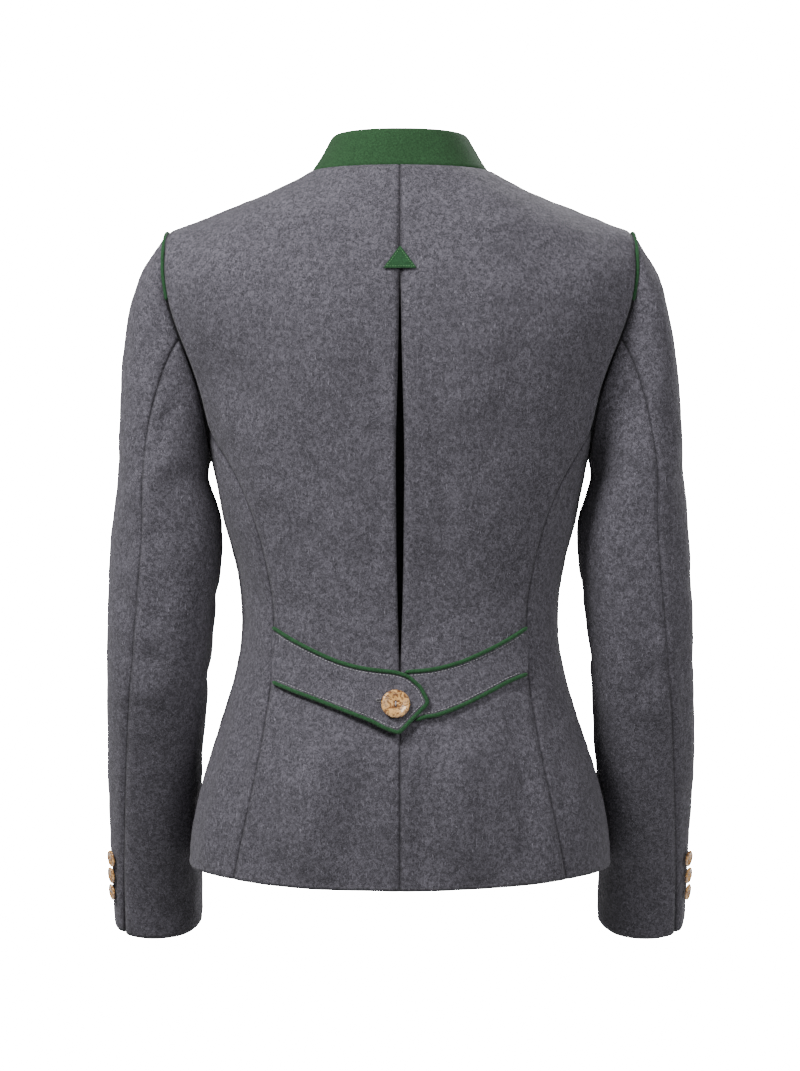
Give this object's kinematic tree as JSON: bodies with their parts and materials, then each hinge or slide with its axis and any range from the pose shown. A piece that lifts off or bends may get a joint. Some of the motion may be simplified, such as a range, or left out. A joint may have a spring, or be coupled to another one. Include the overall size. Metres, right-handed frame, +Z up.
{
  "type": "tyrolean loden jacket",
  "caption": "Hollow worn form of a short fitted loden jacket with a green stand collar, piped half belt, inverted back pleat and horn buttons.",
  "frame": {"origin": "the middle of the neck opening, level with the points where the collar meets the shoulder seams", "axes": "+Z up, +Y the way the wearer faces, +X the wearer's right"},
  "size_m": [0.5054, 0.2503, 0.687],
  "materials": {
    "loden": "grey melange loden, fulled and softly napped",
    "green_cloth": "forest green wool cloth with a felted face",
    "horn": "stag horn, tan with brown mottling, satin"
  },
  "bodies": {
    "root": {"armhole_piping_left": "green_cloth", "armhole_piping_right": "green_cloth", "back_left": "loden", "back_right": "loden", "belt_button": "horn", "belt_left": "loden", "belt_left_piping": "green_cloth", "belt_right": "loden", "belt_right_piping_bottom": "green_cloth", "belt_right_piping_top": "green_cloth", "collar": "green_cloth", "cuff_button_left_1": "horn", "cuff_button_left_2": "horn", "cuff_button_left_3": "horn", "cuff_button_right_1": "horn", "cuff_button_right_2": "horn", "cuff_button_right_3": "horn", "front_button_1": "horn", "front_button_2": "horn", "front_button_3": "horn", "front_button_4": "horn", "front_button_5": "horn", "front_button_6": "horn", "front_left": "loden", "front_right": "loden", "pleat_tab": "green_cloth", "pleat_underlay": "loden", "side_left": "loden", "side_right": "loden", "sleeve_top_left": "loden", "sleeve_top_right": "loden", "sleeve_under_left": "loden", "sleeve_under_right": "loden"}
  },
  "joints": []
}
